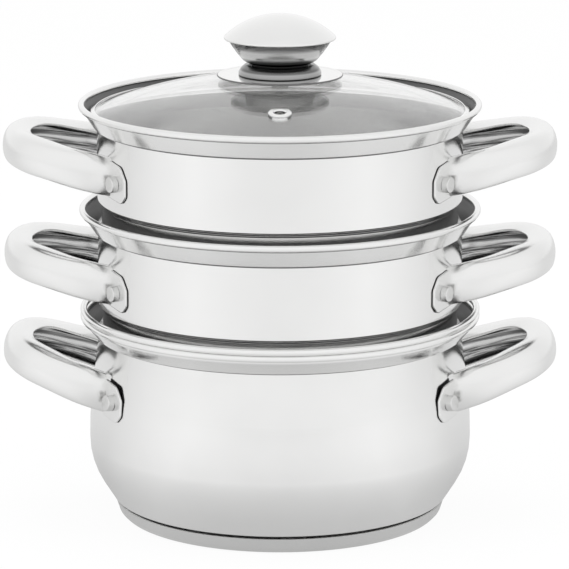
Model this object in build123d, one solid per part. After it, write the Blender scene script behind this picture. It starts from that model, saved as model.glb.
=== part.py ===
from build123d import *
from math import asin, atan, cos, degrees, radians, sin, sqrt, tan
import os

# Three-tier steamer pot: a belly pot, two stacking steamer baskets and a domed glass lid.
# Millimetres and degrees. The origin is under the middle of the base, +Z is up,
# the handles lie along X and the lid's vent faces -Y.

# Sheet, fits and clearances
wall_sheet = 0.7
fit_gap = 0.05
cut_overrun = 1.0

# Walls shared by the pot and the baskets
wall_radius = 101.3
ledge_width = 1.6
ledge_round = 0.9
flare_width = 8.2
flare_round = 3.0
bead_radius = 1.8
bead_offset = 0.2

# Pot
pot_ledge_height = 104.0
pot_rim_height = 14.8
pot_rim_wall = 6.0
belly_swell = 5.5
belly_low_share = 0.302
belly_high_share = 0.582
belly_low_round_share = 0.98
belly_high_round_share = 0.48
floor_height = 6.8
floor_slope_width = 9.1
floor_round = 8.0
seam_rise = 3.8
seam_inset = 13.2
seam_round = 2.5

# Layered base under the pot's floor
base_cap_inset = 0.8
base_cap_drop = 1.4
base_cap_sheet = 0.8
base_foot_inset = 2.2
base_foot_rise = 2.6
base_foot_round = 2.4
base_cap_round = 2.0
core_inset = 9.8

# Steamer basket, measured from the ledge that it hangs on
tier_pitch = 58.6
basket_rim_height = 12.6
basket_depth = 13.0
neck_inset = 2.3
neck_round = 1.6
stop_overlap = 0.4
stop_height = 3.0
stop_round = 0.95
shoulder_height = 17.0
shoulder_rise = 1.9
basket_floor_round = 5.0
hole_radius = 2.6
hole_pitch = 13.5
first_ring_holes = 6

# Loop handle, formed from one open channel of sheet
handle_sheet = 1.5
handle_reach = 52.0
handle_half_width = 50.3
handle_height = 22.3
handle_depth = 15.0
handle_rise = 11.2
handle_straight = 16.0
leg_spread_share = 0.961
leg_splay = 9.0
ear_half_width = 10.2
middle_handle_drop = 36.7
top_handle_drop = 34.7
pot_handle_height = 77.3

# Rivets through the ears
rivet_angle_step = 1.1
rivet_drop = 2.6
rivet_head_radius = 4.4
rivet_head_height = 3.9
rivet_head_round = 0.8
rivet_shank_radius = 2.5
rivet_tail_radius = 4.2
rivet_tail_height = 1.2
rivet_tail_round = 0.5

# Lid: domed glass in a folded steel band
glass_edge_gap = 0.8
glass_sheet = 4.0
glass_rise = 18.0
glass_lip_height = 8.0
band_sheet = 0.6
band_overhang = 3.8
band_lip_width = 2.7
band_skirt_gap = 0.7
band_skirt_depth = 7.0
band_shelf_height = 3.25
band_round = 1.1
band_lip_rise = 0.85
band_gap = 0.15

# Steam vent in the glass
vent_inset = 30.9
vent_tube_radius = 4.1
vent_bore_radius = 2.8
vent_flange_radius = 6.35
vent_flange_sheet = 1.2
vent_round = 0.55

# Knob, measured up from the crown of the glass
washer_sheet = 0.5
soft_washer_radius = 15.0
rosette_radius = 34.8
rosette_sheet = 0.9
rosette_round = 0.3
foot_radius = 22.9
foot_height = 5.7
foot_mouth_radius = 15.6
foot_sheet = 0.8
core_neck_gap = 0.2
core_stem_radius = 9.0
core_stem_rise = 2.9
bowl_foot_step = 2.0
bowl_foot_gap = 0.8
bowl_height = 13.1
bowl_sheet = 0.8
cap_radius = 30.9
cap_rise = 13.7
cap_edge_wall = 1.1
cap_edge_round = 1.0
cap_sheet = 0.9
under_washer_radius = 11.0
steel_washer_sheet = 1.0
screw_radius = 2.4
screw_length = 22.0
screw_head_radius = 4.6
screw_head_height = 2.6
screw_head_round = 0.7

# The open channel's section from its upper lip, over the outside, to its lower lip.
# Each pair is a share of the channel's depth, inward, and of its height from the middle.
leg_shares = (
    (1.0, 0.485), (0.74, 0.49), (0.42, 0.475), (0.17, 0.4), (0.04, 0.22),
    (0.0, 0.0), (0.01, -0.22), (0.08, -0.4), (0.26, -0.49), (0.55, -0.47),
)
end_shares = (
    (1.0, 0.49), (0.74, 0.5), (0.48, 0.485), (0.24, 0.42), (0.07, 0.25),
    (0.0, 0.02), (0.0, -0.2), (0.05, -0.38), (0.17, -0.48), (0.4, -0.47),
)
# Leg stations from the wall to the outer end: share of the quarter turn (below zero is
# the straight part, as a share of its length), of the half width, of the rise, of the
# height, of the depth, and of the end's form
leg_station_shares = (
    (-1.6, 0.84, -0.28, 1.0, 0.75, 0.0), (-0.8, 0.935, 0.035, 1.0, 0.9, 0.0),
    (0.0, 1.0, 0.305, 1.0, 1.1, 0.0), (0.167, 1.0, 0.52, 0.96, 1.2, 0.1),
    (0.333, 1.02, 0.73, 0.925, 1.25, 0.3), (0.5, 1.07, 0.895, 0.915, 1.22, 0.55),
    (0.667, 1.14, 1.02, 0.88, 1.12, 0.8), (0.833, 1.2, 1.08, 0.84, 1.03, 0.95),
    (1.0, 1.0, 1.1, 0.83, 1.0, 1.0),
)
# Outline of the ear on the wall: shares of its half width, away from the loop, and of
# the handle's height, then the rounding of each corner as a share of the half width
ear_outline_shares = (
    (-0.96, 0.43, 0.1), (0.5, 0.34, 0.5), (1.0, 0.03, 0.4), (1.0, -0.38, 0.35),
    (0.6, -0.565, 0.3), (-0.96, -0.49, 0.1),
)
# Knob foot from its flat edge up: shares of its spread beyond the mouth and of its height
foot_shares = ((1.0, 0.26), (0.78, 0.68), (0.46, 1.0))
# Knob bowl between its foot and the cap: shares of the growth in radius and in height
bowl_shares = ((0.26, 0.12), (0.54, 0.41), (0.78, 0.70), (1.0, 1.0))

# Sizes that follow from the ones above
flare_radius = wall_radius + flare_width
bead_centre = flare_radius + bead_offset
neck_radius = wall_radius - neck_inset
stop_radius = wall_radius + stop_overlap
belly_radius = wall_radius + belly_swell
belly_low_height = pot_ledge_height * belly_low_share
belly_high_height = pot_ledge_height * belly_high_share
seam_height = floor_height + seam_rise
seam_radius = belly_radius - seam_inset
floor_radius = seam_radius - floor_slope_width
base_cap_radius = seam_radius - base_cap_inset
base_cap_height = seam_height - base_cap_drop
base_foot_radius = base_cap_radius - base_foot_inset
core_radius = base_cap_radius - core_inset
leg_angle = degrees(asin(handle_half_width * leg_spread_share / wall_radius))
rivet_angle = leg_angle + rivet_angle_step
band_radius = wall_radius + band_overhang
band_skirt_radius = wall_radius - wall_sheet - band_skirt_gap
glass_edge_radius = band_radius - band_sheet - glass_edge_gap
glass_lip_radius = band_radius - band_lip_width
vent_distance = wall_radius - vent_inset
core_neck_radius = foot_mouth_radius - core_neck_gap
bowl_low_radius = core_neck_radius + bowl_foot_step
bowl_low_height = washer_sheet + rosette_sheet + foot_height + bowl_foot_gap + 2 * fit_gap
cap_edge_height = bowl_low_height + bowl_height
cap_top_height = cap_edge_height + cap_rise
cap_dome_rise = cap_rise - cap_edge_wall
cap_dome_radius = (cap_radius ** 2 + cap_dome_rise ** 2) / (2 * cap_dome_rise)
core_stem_height = cap_edge_height + core_stem_rise
pot_ledge = pot_ledge_height
middle_seat = pot_ledge
top_seat = middle_seat + tier_pitch
lid_seat = top_seat + tier_pitch
glass_radius = (glass_lip_radius ** 2 + glass_rise ** 2) / (2 * glass_rise)
crown_height = lid_seat + glass_lip_height + glass_rise
glass_centre = crown_height - glass_radius
quarter_turn = 90.0


# Sheet sections in the plane of radius and height

def offset_path(path, distance):
    """Shift a polyline to its left by a distance, with mitred corners."""
    normals = []
    for (r0, z0), (r1, z1) in zip(path[:-1], path[1:]):
        length = sqrt((r1 - r0) ** 2 + (z1 - z0) ** 2)
        normals.append(((z0 - z1) / length, (r1 - r0) / length))
    shifted = []
    for index, (r, z) in enumerate(path):
        before = normals[max(index - 1, 0)]
        after = normals[min(index, len(normals) - 1)]
        scale = distance / (1 + before[0] * after[0] + before[1] * after[1])
        shifted.append((r + (before[0] + after[0]) * scale, z + (before[1] + after[1]) * scale))
    return shifted


def turns_left(path, index):
    """Tell whether the polyline turns left at one of its inner corners."""
    (r0, z0), (r1, z1), (r2, z2) = path[index - 1:index + 2]
    return (r1 - r0) * (z2 - z1) - (z1 - z0) * (r2 - r1) > 0


def upright(path):
    """Place radius and height pairs in the XZ plane."""
    return [(r, 0, z) for r, z in path]


def sheet_section(path, rounds, sheet):
    """Make the section of a bent sheet that lies to the left of a path."""
    inner = offset_path(path, sheet)
    inner_rounds = []
    for index, value in enumerate(rounds, start=1):
        change = -sheet if turns_left(path, index) else sheet
        inner_rounds.append(value + change)
    outer_line = FilletPolyline(*upright(path), radius=rounds)
    inner_line = FilletPolyline(*upright(inner), radius=inner_rounds)
    start = Line(outer_line @ 0, inner_line @ 0)
    end = Line(outer_line @ 1, inner_line @ 1)
    return Face(Wire([*outer_line.edges(), *inner_line.edges(), *start.edges(), *end.edges()]))


def solid_section(path, rounds):
    """Make a filled section between a path and the axis."""
    line = FilletPolyline(*upright(path), radius=rounds)
    low = Line((0, 0, path[0][1]), line @ 0) if path[0][0] > 0 else None
    high = Line(line @ 1, (0, 0, path[-1][1]))
    axis_line = Line((0, 0, path[-1][1]), (0, 0, path[0][1]))
    edges = [*line.edges(), *high.edges(), *axis_line.edges()]
    if low:
        edges += low.edges()
    return Face(Wire(edges))


def turned(section):
    """Spin a section about the Z axis."""
    return revolve(section, axis=Axis.Z)


def ring_bead(height):
    """Make the solid roll of a rim, centred at a height."""
    circle = Plane((bead_centre, 0, height), x_dir=(1, 0, 0), z_dir=(0, 1, 0)) * Circle(bead_radius)
    return revolve(circle, axis=Axis.Z)


def tube(outer, bore, low, high):
    """Make an upright ring between two heights."""
    body = Pos(0, 0, low) * Cylinder(outer, high - low, align=(Align.CENTER, Align.CENTER, Align.MIN))
    hole = Pos(0, 0, low - cut_overrun) * Cylinder(
        bore, high - low + 2 * cut_overrun, align=(Align.CENTER, Align.CENTER, Align.MIN)
    )
    return body - hole


# Walls

def round_for(share, length, turn):
    """Give the rounding whose tangents take a share of a wall's length at a bend."""
    return share * length / tan(turn / 2)


def belly_rounds():
    """Give the roundings under and over the belly, as far as its walls have room."""
    ledge = pot_ledge - wall_sheet
    straight = belly_high_height - belly_low_height
    flank = sqrt(seam_inset ** 2 + (belly_low_height - seam_height) ** 2)
    low_turn = atan(seam_inset / (belly_low_height - seam_height))
    high_turn = atan(belly_swell / (ledge - belly_high_height))
    low = round_for(belly_low_round_share, min(straight * (1 - belly_high_round_share), flank), low_turn)
    high = round_for(belly_high_round_share, straight, high_turn)
    return low, high


def pot_path():
    """Trace the outside of the pot from under its floor to the roll of its rim."""
    ledge = pot_ledge - wall_sheet
    belly_low_round, belly_high_round = belly_rounds()
    return (
        [
            (0, floor_height), (floor_radius, floor_height), (seam_radius, seam_height),
            (belly_radius, belly_low_height), (belly_radius, belly_high_height),
            (wall_radius, ledge), (wall_radius + ledge_width, ledge),
            (flare_radius, pot_ledge + pot_rim_height - bead_radius - pot_rim_wall),
            (flare_radius, pot_ledge + pot_rim_height - bead_radius),
        ],
        [floor_round, seam_round, belly_low_round, belly_high_round, ledge_round,
         ledge_round + wall_sheet, flare_round],
    )


def basket_path(seat):
    """Trace the outside of a basket from under its floor to the roll of its rim."""
    ledge = seat + tier_pitch - wall_sheet
    return (
        [
            (0, seat - basket_depth), (neck_radius, seat - basket_depth), (neck_radius, seat),
            (stop_radius, seat), (stop_radius, seat + stop_height),
            (neck_radius, seat + stop_height), (neck_radius, seat + shoulder_height - shoulder_rise),
            (wall_radius, seat + shoulder_height), (wall_radius, ledge),
            (wall_radius + ledge_width, ledge),
            (flare_radius, seat + tier_pitch + basket_rim_height - bead_radius - bead_radius),
            (flare_radius, seat + tier_pitch + basket_rim_height - bead_radius),
        ],
        [basket_floor_round, stop_round - wall_sheet, stop_round, stop_round,
         stop_round - wall_sheet, neck_round, neck_round, ledge_round,
         ledge_round + wall_sheet, bead_radius],
    )


def pot_wall(height):
    """Give the radius of the pot's outside and its lean at a height over the belly's middle."""
    rounding = belly_rounds()[1]
    full_lean = atan(belly_swell / (pot_ledge - wall_sheet - belly_high_height))
    start = belly_high_height - rounding * tan(full_lean / 2)
    bend = rounding * sin(full_lean)
    rise = max(height - start, 0)
    lean = asin(min(rise, bend) / rounding)
    straight = max(rise - bend, 0)
    return belly_radius - rounding * (1 - cos(lean)) - straight * tan(lean), degrees(lean)


def basket_wall(height):
    """Give the radius of a basket's upright wall and its lean, the same at every height."""
    return wall_radius, 0


def pot_outside(growth):
    """Fill the outside of the pot's wall, grown by a distance."""
    path, rounds = pot_path()
    wall = offset_path(path, -growth)[:6]
    return turned(solid_section(wall, [value + growth for value in rounds[:4]]))


def basket_outside(seat):
    """Give a function that fills a basket's plain wall, grown by a distance."""
    def outside(growth):
        return Pos(0, 0, seat) * Cylinder(
            wall_radius + growth, tier_pitch, align=(Align.CENTER, Align.CENTER, Align.MIN)
        )
    return outside


def perforations(seat):
    """Make the rings of round cutters for a basket's floor."""
    low = seat - basket_depth - cut_overrun
    cutter = Pos(0, 0, low) * Cylinder(
        hole_radius, wall_sheet + 2 * cut_overrun, align=(Align.CENTER, Align.CENTER, Align.MIN)
    )
    cutters = [cutter]
    ring = 1
    limit = neck_radius - basket_floor_round - hole_radius - hole_pitch / 2
    while ring * hole_pitch < limit:
        count = ring * first_ring_holes
        for index in range(count):
            turn = Rot(0, 0, 360 * index / count)
            cutters.append(turn * Pos(ring * hole_pitch, 0, 0) * cutter)
        ring += 1
    return cutters


# Handles and rivets

def wall_normal(angle, lean):
    """Give the outward normal of a wall at an angle from X, on the handle's +X side."""
    return Vector(
        cos(radians(angle)) * cos(radians(lean)), -sin(radians(angle)) * cos(radians(lean)),
        sin(radians(lean)),
    )


def channel_points(form, depth, height, sheet):
    """Give the outer and inner points of the channel's section, as inset and height."""
    outer = [(inset * depth, rise * height) for inset, rise in form]
    inner = []
    for index, (inset, rise) in enumerate(outer):
        before = outer[max(index - 1, 0)]
        after = outer[min(index + 1, len(outer) - 1)]
        run = (after[0] - before[0], after[1] - before[1])
        length = sqrt(run[0] ** 2 + run[1] ** 2)
        inner.append((inset - run[1] / length * sheet, rise + run[0] / length * sheet))
    return outer, inner


def blend_forms(first, second, share):
    """Mix two tables of section shares."""
    return [
        (a[0] + (b[0] - a[0]) * share, a[1] + (b[1] - a[1]) * share)
        for a, b in zip(first, second)
    ]


def station_wire(place, outer, inner):
    """Make the closed outline of a section, with a function that places its points."""
    outer_line = Spline(*[place(point) for point in outer])
    inner_line = Spline(*[place(point) for point in inner])
    start = Line(place(outer[0]), place(inner[0]))
    end = Line(place(outer[-1]), place(inner[-1]))
    edges = [*outer_line.edges(), *end.edges(), *inner_line.edges(), *start.edges()]
    return Wire(edges)


def leg_stations(wall, root_height):
    """List the channel's sections from inside the wall to the outer end, at -Y."""
    root_radius, lean = wall(root_height)
    root_x = root_radius * cos(radians(leg_angle))
    end_x = root_x + wall_radius * (1 - cos(radians(leg_angle))) + handle_reach
    centre_x = root_x + handle_straight
    tilt = radians(lean)

    def leg_place(x, y, heading, middle):
        def place(point):
            inset, rise = point
            out = x - inset * sin(radians(heading)) - root_x
            up = middle + rise - root_height
            return (
                root_x + out * cos(tilt) - up * sin(tilt),
                y + inset * cos(radians(heading)),
                root_height + out * sin(tilt) + up * cos(tilt),
            )
        return place

    stations = []
    for turn, wide, rise, tall, deep, end_share in leg_station_shares:
        angle = max(quarter_turn * turn, 0)
        x = centre_x + (end_x - centre_x) * sin(radians(angle))
        y = -handle_half_width * wide * cos(radians(angle))
        if turn < 0:
            x = centre_x + handle_straight * turn
            angle = leg_splay * turn
        form = blend_forms(leg_shares, end_shares, end_share)
        outer, inner = channel_points(form, handle_depth * deep, handle_height * tall, handle_sheet)
        stations.append((leg_place(x, y, angle, root_height + handle_rise * rise), outer, inner))
    return stations


def mirrored(place):
    """Place a point on the other side of the XZ plane."""
    def flipped(point):
        x, y, z = place(point)
        return (x, -y, z)
    return flipped


def ear_prism(root_radius, root_height, side):
    """Make the ear's outline as a block that runs through the wall."""
    across = 1 if side > 0 else -1
    normal = wall_normal(rivet_angle, 0)
    origin = (root_radius * normal.X, root_radius * normal.Y * across, root_height)
    plane = Plane(
        origin=origin, x_dir=(normal.Y, -normal.X * across, 0), z_dir=(normal.X, normal.Y * across, 0)
    )
    points = []
    rounds = []
    for along, up, corner in ear_outline_shares:
        points.append((along * ear_half_width, up * handle_height * across))
        rounds.append(corner * ear_half_width)
    outline = make_face(FilletPolyline(*points, radius=rounds, close=True).edges())
    return extrude(plane * outline, amount=4 * handle_sheet, both=True)


def rivet_frame(wall, root_height, side):
    """Give the plane on the ear's outer face where a rivet's head sits."""
    height = root_height - rivet_drop
    radius, lean = wall(height)
    reach = radius + fit_gap + handle_sheet
    normal = wall_normal(rivet_angle, lean)
    across = 1 if side > 0 else -1
    origin = (
        reach * cos(radians(rivet_angle)), -reach * sin(radians(rivet_angle)) * across, height
    )
    return Plane(origin=origin, z_dir=(normal.X, normal.Y * across, normal.Z))


def loop_handle(wall, root_height, outside):
    """Make one +X loop handle: the channel, two ears, trimmed to the wall and drilled."""
    root_radius = wall(root_height)[0]
    stations = leg_stations(wall, root_height)
    wires = [station_wire(place, outer, inner) for place, outer, inner in stations]
    for place, outer, inner in reversed(stations[:-1]):
        wires.append(station_wire(mirrored(place), outer, inner))
    handle = Part() + Solid.make_loft(wires)
    for side in (1, -1):
        handle += outside(fit_gap + handle_sheet) & ear_prism(root_radius, root_height, side)
    handle -= outside(fit_gap)
    for side in (1, -1):
        plane = rivet_frame(wall, root_height, side)
        handle -= plane * Cylinder(rivet_shank_radius + fit_gap, 4 * handle_sheet)
    return handle


def rivet(plane, inner_radius):
    """Make a rivet: outer head, shank and the head formed inside the pot."""
    bow = inner_radius - sqrt(inner_radius ** 2 - rivet_tail_radius ** 2)
    grip = handle_sheet + 2 * fit_gap + wall_sheet + bow
    bottom = (Align.CENTER, Align.CENTER, Align.MIN)
    top = (Align.CENTER, Align.CENTER, Align.MAX)
    head = Pos(0, 0, fit_gap) * Cylinder(rivet_head_radius, rivet_head_height, align=bottom)
    head = fillet(head.edges().group_by(Axis.Z)[-1], rivet_head_round)
    shank = Pos(0, 0, 2 * fit_gap) * Cylinder(rivet_shank_radius, grip + 3 * fit_gap, align=top)
    tail = Pos(0, 0, -grip) * Cylinder(rivet_tail_radius, rivet_tail_height, align=top)
    tail = fillet(tail.edges().group_by(Axis.Z)[0], rivet_tail_round)
    return plane * (head + shank + tail)


def handle_set(wall, root_height, outside):
    """Make both handles, their rivets and the wall's rivet holes for one vessel."""
    right = loop_handle(wall, root_height, outside)
    left = mirror(right, about=Plane.YZ)
    rivets = []
    holes = []
    for side in (1, -1):
        plane = rivet_frame(wall, root_height, side)
        one = rivet(plane, wall(root_height - rivet_drop)[0] - wall_sheet)
        hole = plane * Cylinder(rivet_shank_radius + fit_gap, 8 * handle_sheet)
        rivets += [one, mirror(one, about=Plane.YZ)]
        holes += [hole, mirror(hole, about=Plane.YZ)]
    return left, right, rivets, holes


# Vessels

def pot():
    """Make the belly pot's drawn body with its two-roll rim."""
    path, rounds = pot_path()
    body = turned(sheet_section(path, rounds, wall_sheet))
    top_bead = pot_ledge + pot_rim_height - bead_radius
    body += ring_bead(top_bead)
    body += ring_bead(top_bead - 2 * bead_radius + fit_gap)
    return body


def base_core():
    """Make the aluminium disc that spreads the heat under the pot's floor."""
    low = base_cap_sheet + fit_gap
    height = floor_height - fit_gap - low
    return Pos(0, 0, low) * Cylinder(core_radius, height, align=(Align.CENTER, Align.CENTER, Align.MIN))


def base_cap():
    """Make the steel cup that encloses the disc."""
    path = [(0, 0), (base_foot_radius - base_foot_rise, 0), (base_foot_radius, base_foot_rise),
            (base_cap_radius, base_cap_height)]
    return turned(sheet_section(path, [base_foot_round, base_cap_round + base_cap_sheet], base_cap_sheet))


def basket(seat):
    """Make a steamer basket with a perforated floor."""
    path, rounds = basket_path(seat)
    body = turned(sheet_section(path, rounds, wall_sheet))
    body += ring_bead(seat + tier_pitch + basket_rim_height - bead_radius)
    return body - perforations(seat)


# Lid

def vent_frame():
    """Give the plane on the glass where the vent sits, square to the dome."""
    tilt = vent_distance / glass_radius
    height = glass_centre + sqrt(glass_radius ** 2 - vent_distance ** 2)
    return Plane(origin=(0, -vent_distance, height), z_dir=(0, -tilt, sqrt(1 - tilt ** 2)))


def lid_glass():
    """Make the domed glass with its two holes."""
    inner_radius = glass_radius - glass_sheet
    outer = Pos(0, 0, glass_centre) * Sphere(glass_radius)
    inner = Pos(0, 0, glass_centre) * Sphere(inner_radius)
    low = lid_seat + band_shelf_height + band_sheet + fit_gap
    blank = Pos(0, 0, low) * Cylinder(
        glass_edge_radius, glass_rise + glass_lip_height + glass_sheet,
        align=(Align.CENTER, Align.CENTER, Align.MIN),
    )
    glass = (outer & blank) - inner
    glass -= vent_frame() * Cylinder(vent_tube_radius + fit_gap, 4 * glass_sheet)
    glass -= Pos(0, 0, crown_height) * Cylinder(screw_radius + 2 * fit_gap, 4 * glass_sheet)
    return glass


def lid_band():
    """Make the folded steel band that holds the glass and drops into the bore."""
    shelf = lid_seat + band_shelf_height
    lip = lid_seat + glass_lip_height + band_gap + band_sheet - band_lip_rise
    path = [
        (band_skirt_radius, lid_seat - band_skirt_depth), (band_skirt_radius, shelf),
        (band_radius, shelf), (band_radius, lip), (glass_lip_radius, lip + band_lip_rise),
    ]
    rounds = [band_round - band_sheet, band_round, band_round]
    return turned(sheet_section(path, rounds, band_sheet))


def vent_eyelet():
    """Make the steel eyelet that lets steam out through the glass."""
    bow = vent_flange_radius ** 2 / (2 * glass_radius)
    under = -glass_sheet - bow - fit_gap
    reach = vent_flange_sheet - under
    path = [
        (vent_bore_radius, -reach), (vent_flange_radius, -reach),
        (vent_flange_radius, under), (vent_tube_radius, under),
        (vent_tube_radius, fit_gap), (vent_flange_radius, fit_gap),
        (vent_flange_radius, vent_flange_sheet + fit_gap),
        (vent_bore_radius, vent_flange_sheet + fit_gap), (vent_bore_radius, -reach),
    ]
    section = Face(Wire(Polyline(*upright(path)).edges()))
    eyelet = turned(section)
    rims = eyelet.edges().filter_by(GeomType.CIRCLE)
    ends = rims.group_by(Axis.Z)
    eyelet = fillet([*ends[0], *ends[-1]], vent_round)
    return vent_frame() * eyelet


def crown_disc(radius, bore, low, high):
    """Make a ring about the knob's axis, with heights from the glass crown."""
    return tube(radius, bore, crown_height + low, crown_height + high)


def soft_washer():
    """Make the soft washer between the glass and the rosette."""
    ring = crown_disc(soft_washer_radius, screw_radius + 2 * fit_gap, -glass_sheet / 4, washer_sheet)
    return ring - Pos(0, 0, glass_centre) * Sphere(glass_radius + fit_gap)


def under_washer():
    """Make the soft washer under the glass."""
    inner = glass_radius - glass_sheet - fit_gap
    ring = crown_disc(
        under_washer_radius, screw_radius + 2 * fit_gap, -glass_sheet - 2 * washer_sheet, -fit_gap
    )
    return ring & (Pos(0, 0, glass_centre) * Sphere(inner))


def steel_washer():
    """Make the steel washer that the screw pulls against."""
    top = -glass_sheet - 2 * washer_sheet - fit_gap
    return crown_disc(under_washer_radius, screw_radius + 2 * fit_gap, top - steel_washer_sheet, top)


def knob_screw():
    """Make the screw that holds the knob to the glass."""
    seat = -glass_sheet - 2 * washer_sheet - 2 * fit_gap - steel_washer_sheet
    base = crown_height + seat
    head = Pos(0, 0, base) * Cylinder(
        screw_head_radius, screw_head_height, align=(Align.CENTER, Align.CENTER, Align.MAX)
    )
    head = fillet(head.edges().group_by(Axis.Z)[0], screw_head_round)
    shank = Pos(0, 0, base - fit_gap) * Cylinder(
        screw_radius, screw_length, align=(Align.CENTER, Align.CENTER, Align.MIN)
    )
    return head + shank


def knob_rosette():
    """Make the wide steel disc under the knob."""
    low = washer_sheet + fit_gap
    disc = crown_disc(rosette_radius, screw_radius + 2 * fit_gap, low, low + rosette_sheet)
    rim = disc.edges().filter_by(GeomType.CIRCLE).sort_by(SortBy.LENGTH)[-2:]
    return fillet(rim, rosette_round)


def knob_foot():
    """Make the flared foot of the knob, a pressed shell."""
    low = crown_height + washer_sheet + rosette_sheet + 2 * fit_gap
    spread = foot_radius - foot_mouth_radius
    flank = [(foot_mouth_radius + spread * r, low + foot_height * z) for r, z in foot_shares]
    path = [(foot_radius, low), *flank, (foot_mouth_radius, low + foot_height)]
    return turned(sheet_section(path, [2 * foot_sheet, 3 * foot_sheet, 2 * foot_sheet], foot_sheet))


def knob_core():
    """Make the black core that joins foot and bowl, with the bore for the screw."""
    low = washer_sheet + rosette_sheet + 2 * fit_gap
    neck = crown_disc(core_neck_radius, screw_radius + fit_gap, low, bowl_low_height - fit_gap)
    stem = crown_disc(core_stem_radius, screw_radius + fit_gap, low, core_stem_height)
    return neck + stem


def knob_bowl():
    """Make the knob's underside, a pressed bowl between the core and the cap."""
    top_radius = cap_radius - cap_sheet - fit_gap - cap_edge_round
    growth = top_radius - bowl_low_radius
    climb = cap_edge_height - bowl_low_height
    low = crown_height + bowl_low_height
    rim = [(bowl_low_radius + growth * r, low + climb * z) for r, z in bowl_shares]
    path = [(core_stem_radius + fit_gap, low), (bowl_low_radius, low), *rim]
    rounds = [2 * bowl_sheet, 3 * bowl_sheet, 6 * bowl_sheet, 6 * bowl_sheet]
    return turned(sheet_section(path, rounds, bowl_sheet))


def knob_cap():
    """Make the knob's domed cap, a pressed shell with a rolled edge."""
    top = crown_height + cap_top_height
    edge = crown_height + cap_edge_height
    outer = Pos(0, 0, top - cap_dome_radius) * Sphere(cap_dome_radius)
    inner = Pos(0, 0, top - cap_dome_radius) * Sphere(cap_dome_radius - cap_sheet)
    blank = Pos(0, 0, edge) * Cylinder(
        cap_radius, cap_top_height, align=(Align.CENTER, Align.CENTER, Align.MIN)
    )
    blank = outer & blank
    rims = blank.edges().filter_by(GeomType.CIRCLE).sort_by(SortBy.LENGTH)[-2:].sort_by(Axis.Z)
    blank = fillet(rims[-1], cap_edge_round)
    rims = blank.edges().filter_by(GeomType.CIRCLE).sort_by(Axis.Z)
    blank = fillet(rims[0], cap_edge_round / 2)
    hollow = Pos(0, 0, edge - cut_overrun) * Cylinder(
        cap_radius - cap_sheet - cap_edge_round, cap_top_height,
        align=(Align.CENTER, Align.CENTER, Align.MIN),
    )
    return blank - (inner & hollow)


def build():
    """Make every piece, keyed by its node's name."""
    pot_left, pot_right, pot_rivets, pot_holes = handle_set(pot_wall, pot_handle_height, pot_outside)
    pieces = {
        "pot_body": pot() - pot_holes,
        "base_core": base_core(),
        "base_cap": base_cap(),
        "pot_handle_left": pot_left,
        "pot_handle_right": pot_right,
        "pot_handle_rivets": Compound(children=pot_rivets),
    }
    tiers = (("middle", middle_seat, middle_handle_drop), ("top", top_seat, top_handle_drop))
    for name, seat, handle_drop in tiers:
        root = seat + tier_pitch + basket_rim_height - handle_drop
        left, right, rivets, holes = handle_set(basket_wall, root, basket_outside(seat))
        pieces[name + "_steamer_body"] = basket(seat) - holes
        pieces[name + "_handle_left"] = left
        pieces[name + "_handle_right"] = right
        pieces[name + "_handle_rivets"] = Compound(children=rivets)
    pieces["lid_glass"] = lid_glass()
    pieces["lid_rim_band"] = lid_band()
    pieces["vent_eyelet"] = vent_eyelet()
    pieces["knob_soft_washer"] = soft_washer()
    pieces["knob_rosette"] = knob_rosette()
    pieces["knob_foot"] = knob_foot()
    pieces["knob_core"] = knob_core()
    pieces["knob_bowl"] = knob_bowl()
    pieces["knob_cap"] = knob_cap()
    pieces["under_soft_washer"] = under_washer()
    pieces["under_steel_washer"] = steel_washer()
    pieces["knob_screw"] = knob_screw()
    return pieces


os.makedirs("parts", exist_ok=True)
for node, piece in build().items():
    export_step(piece, os.path.join("parts", node + ".step"))
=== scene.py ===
from math import atan2, cos, hypot, pi, radians, sin, sqrt, tan

import bpy
import numpy as np
from mathutils import Matrix, Vector


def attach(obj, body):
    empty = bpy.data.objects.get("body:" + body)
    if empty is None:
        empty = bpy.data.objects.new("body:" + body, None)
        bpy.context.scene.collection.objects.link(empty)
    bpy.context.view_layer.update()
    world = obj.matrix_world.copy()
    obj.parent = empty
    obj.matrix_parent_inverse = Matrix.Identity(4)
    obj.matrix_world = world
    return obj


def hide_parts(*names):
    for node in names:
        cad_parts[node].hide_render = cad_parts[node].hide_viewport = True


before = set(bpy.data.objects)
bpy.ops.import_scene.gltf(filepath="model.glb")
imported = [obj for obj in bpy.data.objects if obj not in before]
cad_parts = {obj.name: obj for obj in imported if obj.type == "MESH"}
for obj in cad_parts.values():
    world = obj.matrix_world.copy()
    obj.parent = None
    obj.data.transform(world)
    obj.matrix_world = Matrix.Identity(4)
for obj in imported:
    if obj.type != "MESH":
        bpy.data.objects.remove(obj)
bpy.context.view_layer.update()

# Three-tier steamer pot. Lengths are millimetres until a mesh is made, then metres.
MM = 0.001
TURN_STEPS = 224
KNOB_STEPS = 160
GLASS_STEPS = 256
ARC_STEP = radians(7)
LEAST_STEPS = 3
LEAST_BEND = radians(0.2)
# The most of an edge that one rounding takes
EDGE_SHARE = 0.499
# Nearer than this to the axis, or to each other, points count as one
ON_AXIS = 1e-6
SAME_POINT = 1e-4

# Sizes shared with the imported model
SHEET = 0.7
GAP = 0.05
WALL = 101.3
LEDGE = 1.6
FLARE = 109.5
BEAD = 1.8
BEAD_REACH = 111.5

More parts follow.
